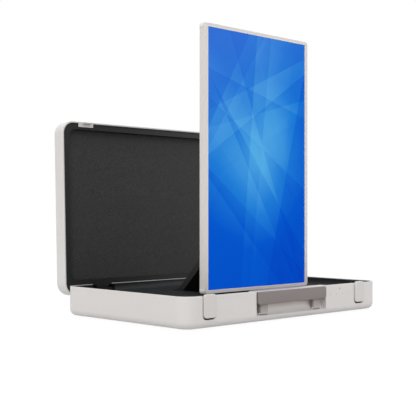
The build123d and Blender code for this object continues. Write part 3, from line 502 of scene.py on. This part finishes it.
def dress(finish_of):
    """A finish for each CAD node."""
    own = {"lid_frame": "frame", "handle_bail": "bail"}
    own.update({"latch_lever_left": "lever", "latch_lever_right": "lever"})
    for part in frame["record"]["subparts"]:
        node = part["node"]
        mesh = frame["nodes"][node].data
        mesh.materials.clear()
        mesh.materials.append(finish_of[own.get(node, part["material_slot"])])


def repeat_tree(name, shape, height=1.0):
    """The node tree that sets a shape on each point of a mesh; height flattens it."""
    tree = bpy.data.node_groups.new(name, "GeometryNodeTree")
    kinds = (("Points", "Geometry"), ("Head Radius", "Float"), ("Turn", "Vector"), ("Finish", "Material"))
    for socket, kind in kinds:
        tree.interface.new_socket(socket, in_out="INPUT", socket_type="NodeSocket" + kind)
    tree.interface.new_socket("Pieces", in_out="OUTPUT", socket_type="NodeSocketGeometry")
    nodes = Nodes(tree)
    given = nodes.make("NodeGroupInput")
    turn = nodes.node("FunctionNodeEulerToRotation", None, {0: nodes.out(given, "Turn")})
    made = shape(nodes, nodes.out(given, "Head Radius"))
    inputs = {"Points": nodes.out(given, "Points"), "Instance": made, "Rotation": turn}
    inputs["Scale"] = (1.0, 1.0, height)
    placed = nodes.node("GeometryNodeInstanceOnPoints", None, inputs)
    whole = nodes.node("GeometryNodeRealizeInstances", None, {"Geometry": placed})
    inputs = {"Geometry": whole, "Material": nodes.out(given, "Finish")}
    finished = nodes.node("GeometryNodeSetMaterial", None, inputs)
    nodes.make("NodeGroupOutput", None, {0: finished})
    return tree


def screw_head(nodes, radius):
    """A round head with a chamfered edge and a round socket."""

    def step(mesh, face, rise, scale):
        """Raises the face that is given and scales its new top."""
        inputs = {"Mesh": mesh, "Selection": face, "Offset Scale": radius * rise, "Individual": False}
        raised = nodes.make("GeometryNodeExtrudeMesh", {"mode": "FACES"}, inputs)
        top = nodes.out(raised, "Top")
        inputs = {"Geometry": nodes.out(raised, "Mesh"), "Selection": top, "Scale": scale}
        return nodes.node("GeometryNodeScaleElements", {"domain": "FACE"}, inputs), top

    inputs = {"Vertices": SCREW_SIDES, "Radius": radius, "Depth": radius * SCREW_HEIGHT}
    head = nodes.make("GeometryNodeMeshCylinder", {"fill_type": "NGON"}, inputs)
    mesh, face = step(nodes.out(head, "Mesh"), nodes.out(head, "Top"), SCREW_CHAMFER, 1 - SCREW_CHAMFER)
    mesh, face = step(mesh, face, 0.0, SCREW_SOCKET)
    mesh, face = step(mesh, face, -SCREW_SOCKET_DEPTH, SCREW_SOCKET_TAPER)
    return mesh


def ball(nodes, radius):
    """A round ball, which the tree flattens to a low dome."""
    inputs = {"Segments": SCREW_SIDES, "Rings": SCREW_SIDES // 2, "Radius": radius}
    return nodes.node("GeometryNodeMeshUVSphere", None, inputs)


def surface_under(node, start, direction):
    """The point where a straight line from start first meets a node."""
    mesh = frame["nodes"][node].data
    corners = [vertex.co for vertex in mesh.vertices]
    tree = BVHTree.FromPolygons(corners, [face.vertices for face in mesh.polygons])
    return tree.ray_cast(start, direction)[0]


def on_points(tree, name, node, outward, places, radius, finish):
    """What a node tree sets on the places, as one mesh that rides with a node."""
    mesh = bpy.data.meshes.new(name + "_points")
    mesh.from_pydata(places, [], [])
    points = bpy.data.objects.new(name + "_points", mesh)
    bpy.context.scene.collection.objects.link(points)
    modifier = points.modifiers.new("repeat", "NODES")
    modifier.node_group = tree
    keys = {item.name: item.identifier for item in tree.interface.items_tree if item.in_out == "INPUT"}
    modifier[keys["Head Radius"]] = radius
    modifier[keys["Turn"]] = list(outward.to_track_quat("Z", "Y").to_euler())
    modifier[keys["Finish"]] = finish
    view = bpy.context.evaluated_depsgraph_get()
    made = bpy.data.meshes.new_from_object(points.evaluated_get(view), depsgraph=view)
    bpy.data.objects.remove(points)
    made.name = name
    piece = bpy.data.objects.new(name, made)
    bpy.context.scene.collection.objects.link(piece)
    bodies = frame["record"]["behaviour"]["bodies"]
    body = next(body for body, nodes in bodies.items() if node in nodes)
    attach(piece, body)


def screws(tree, name, node, outward, starts, radius, finish):
    """Screws whose heads stand on a node's face, one under each start."""
    outward = Vector(outward)
    seats = [surface_under(node, Vector(start), -outward) for start in starts]
    lift = outward * radius * SCREW_HEIGHT * (0.5 - SCREW_SUNK)
    on_points(tree, name, node, outward, [seat + lift for seat in seats], radius, finish)


def all_screws(tree, finish):
    """The screws that hold the covers, the hinges and the bracket."""
    low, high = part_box("base_shell")
    half = (high - low) / 2 - Vector((1.0, 1.0, 0.0)) * CASE_SCREW_IN
    spots = [(x * half.x, y * half.y, low.z - LOOK_FROM) for x in (-1, 0, 1) for y in (-1, 1)]
    screws(tree, "base_screws", "base_shell", (0, 0, -1), spots, CASE_SCREW_R, finish)

    low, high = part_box("display_back")
    middle = (low + high) / 2
    half = (high - low) / 2 - Vector((1.0, 0.0, 1.0)) * BACK_SCREW_IN
    back = high.y + LOOK_FROM
    spots = [(x * half.x, back, middle.z + z * half.z) for x in (-1, 1) for z in (-1, 0, 1)]
    screws(tree, "display_back_screws", "display_back", (0, 1, 0), spots, BACK_SCREW_R, finish)

    low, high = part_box("swivel_retainer")
    middle = (low + high) / 2
    ring = RETAINER_RING * (high.x - low.x)
    back = high.y + LOOK_FROM
    turns = [math.radians(45 + 90 * n) for n in range(4)]
    spots = [(ring * math.cos(a), back, middle.z + ring * math.sin(a)) for a in turns]
    screws(tree, "retainer_screws", "swivel_retainer", (0, 1, 0), spots, RETAINER_SCREW_R, finish)

    low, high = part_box("carrier_cover")
    ring = (high.x - low.x) / 2 - COVER_SCREW_IN
    centre = high.z - (high.x - low.x) / 2
    back = high.y + LOOK_FROM
    spots = [(x * ring, back, z) for x in (-1, 1) for z in (centre, low.z + 2 * COVER_SCREW_IN)]
    screws(tree, "carrier_cover_screws", "carrier_cover", (0, 1, 0), spots, COVER_SCREW_R, finish)

    for side in ("left", "right"):
        leaf = "lid_hinge_leaf_" + side
        low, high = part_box(leaf)
        middle = (low + high) / 2
        front = low.y + LEAF_SCREW_IN
        spots = [(middle.x + n * LEAF_SCREW_PITCH, front, high.z + LOOK_FROM) for n in (-1, 0, 1)]
        screws(tree, "hinge_leaf_screws_" + side, leaf, (0, 0, 1), spots, LEAF_SCREW_R, finish)

    low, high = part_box("arm_bracket")
    spots = [(x, y, high.z + LOOK_FROM) for x in (low.x + BRACKET_SCREW_IN, high.x - BRACKET_SCREW_IN)
             for y in (low.y + BRACKET_SCREW_IN, high.y - BRACKET_SCREW_IN)]
    screws(tree, "bracket_screws", "arm_bracket", (0, 0, 1), spots, BRACKET_SCREW_R, finish)


def grip_face(finish):
    """The moulded face of the handle, which stands proud of the case's front."""
    low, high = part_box("handle_grip")
    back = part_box("base_shell")[0].y - GRIP_FACE_GAP
    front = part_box("latch_lever_left")[0].y + GRIP_FACE_BACK
    left, right = low.x - GRIP_FACE_SIDE, high.x + GRIP_FACE_SIDE
    bottom, top = low.z - GRIP_FACE_LOW, high.z + GRIP_FACE_HIGH
    r = GRIP_FACE_R
    centres = ((right - r, top - r), (left + r, top - r), (left + r, bottom + r), (right - r, bottom + r))
    shape = bmesh.new()
    outline = []
    for quarter, (x, z) in enumerate(centres):
        for n in range(GRIP_FACE_STEPS + 1):
            turn = math.radians(90 * (quarter + n / GRIP_FACE_STEPS))
            outline.append(shape.verts.new((x + r * math.cos(turn), back, z + r * math.sin(turn))))
    rear = shape.faces.new(outline)
    grown = bmesh.ops.extrude_face_region(shape, geom=[rear], use_keep_orig=True)
    moved = [item for item in grown["geom"] if isinstance(item, bmesh.types.BMVert)]
    bmesh.ops.translate(shape, verts=moved, vec=(0.0, front - back, 0.0))
    bmesh.ops.recalc_face_normals(shape, faces=shape.faces)
    near = GRIP_FACE_GAP / 10
    rim = [edge for edge in shape.edges if all(abs(v.co.y - front) < near for v in edge.verts)]
    bmesh.ops.bevel(shape, geom=rim, offset=GRIP_FACE_EDGE, segments=GRIP_FACE_EDGE_STEPS, profile=0.5,
                    affect="EDGES")
    bmesh.ops.recalc_face_normals(shape, faces=shape.faces)
    mesh = bpy.data.meshes.new("grip_face")
    shape.to_mesh(mesh)
    shape.free()
    mesh.shade_smooth()
    mesh.set_sharp_from_angle(angle=math.radians(GRIP_FACE_SHARP))
    mesh.materials.append(finish)
    piece = bpy.data.objects.new("grip_face", mesh)
    bpy.context.scene.collection.objects.link(piece)
    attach(piece, "handle")


def front_dots(tree, lens, gauze):
    """The lamp's lens, and the gauze behind each sound hole, on the front of the case."""
    out = Vector((0.0, -1.0, 0.0))
    beside = Vector((2 * LAMP_R, 0.0, 0.0))
    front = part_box("base_shell")[0].y - LOOK_FROM

    def front_of(x, z):
        """The face at a hole, found on the wall beside it."""
        return surface_under("base_shell", Vector((x, front, z)) - beside, -out) + beside

    low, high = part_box("microphone_board")
    middle = (low.x + high.x) / 2
    lamp = [front_of(middle, LAMP_Z)]
    on_points(tree, "lamp_lens", "base_shell", out, lamp, LAMP_R, lens)
    half = (high.x - low.x) / 2 - MIC_BOARD_SIDE
    holes = [front_of(middle + half * (2 * n / (MIC_COUNT - 1) - 1), MIC_Z) for n in range(MIC_COUNT)]
    on_points(tree, "sound_hole_gauze", "base_shell", out, holes, MIC_R, gauze)


def stage():
    """A pale floor that keeps a faint shadow, and a white world."""
    finish = Finish("pale_floor", Roughness=0.9, Base_Color=FLOOR_COLOUR)
    seen = finish.seen() * FLOOR_VEIL
    glow = finish.node("ShaderNodeEmission", None, {"Color": WHITE, "Strength": FLOOR_GLOW})
    plain = finish.out(finish.shader, 0)
    finish.show(finish.node("ShaderNodeMixShader", None, {0: seen, 1: plain, 2: glow}))

    mesh = bpy.data.meshes.new("floor")
    corners = [(x * FLOOR_HALF, y * FLOOR_HALF, FLOOR_Z) for x, y in ((-1, -1), (1, -1), (1, 1), (-1, 1))]
    mesh.from_pydata(corners, [], [(0, 1, 2, 3)])
    mesh.materials.append(finish.material)
    floor = bpy.data.objects.new("floor", mesh)
    bpy.context.scene.collection.objects.link(floor)

    world = bpy.data.worlds.new("studio")
    world.use_nodes = True
    bpy.context.scene.world = world
    sky = Nodes(world.node_tree)
    sky.tree.nodes.clear()
    strength = sky.ranged(sky.seen(), 0.0, 1.0, WORLD_LIGHT, 1.0)
    light = sky.node("ShaderNodeBackground", None, {"Color": WHITE, "Strength": strength})
    sky.make("ShaderNodeOutputWorld", None, {"Surface": light})


def lights():
    """Wide soft lamps, far enough away to light the whole object alike."""
    for name, towards, strength, spread in SUNS:
        data = bpy.data.lights.new(name, "SUN")
        data.energy = strength
        data.angle = math.radians(spread)
        lamp = bpy.data.objects.new(name, data)
        lamp.rotation_euler = Vector(towards).to_track_quat("Z", "Y").to_euler()
        bpy.context.scene.collection.objects.link(lamp)


def camera():
    data = bpy.data.cameras.new("camera")
    data.sensor_width = CAMERA_SENSOR
    data.lens = CAMERA_LENS
    data.shift_y = CAMERA_SHIFT_Y
    obj = bpy.data.objects.new("camera", data)
    obj.location = CAMERA_AT
    obj.rotation_euler = [math.radians(a) for a in CAMERA_TURN]
    bpy.context.scene.collection.objects.link(obj)
    bpy.context.scene.camera = obj


camera()
stage()
lights()
finish_of = finishes()
dress(finish_of)
all_screws(repeat_tree("screw_on_each_point", screw_head), finish_of["dark_steel"])
grip_face(finish_of["taupe_grip"])
dome = repeat_tree("dome_on_each_point", ball, DOME_HEIGHT)
front_dots(dome, finish_of["lens"], finish_of["black_plastic"])

bpy.context.scene.view_settings.view_transform = "Standard"
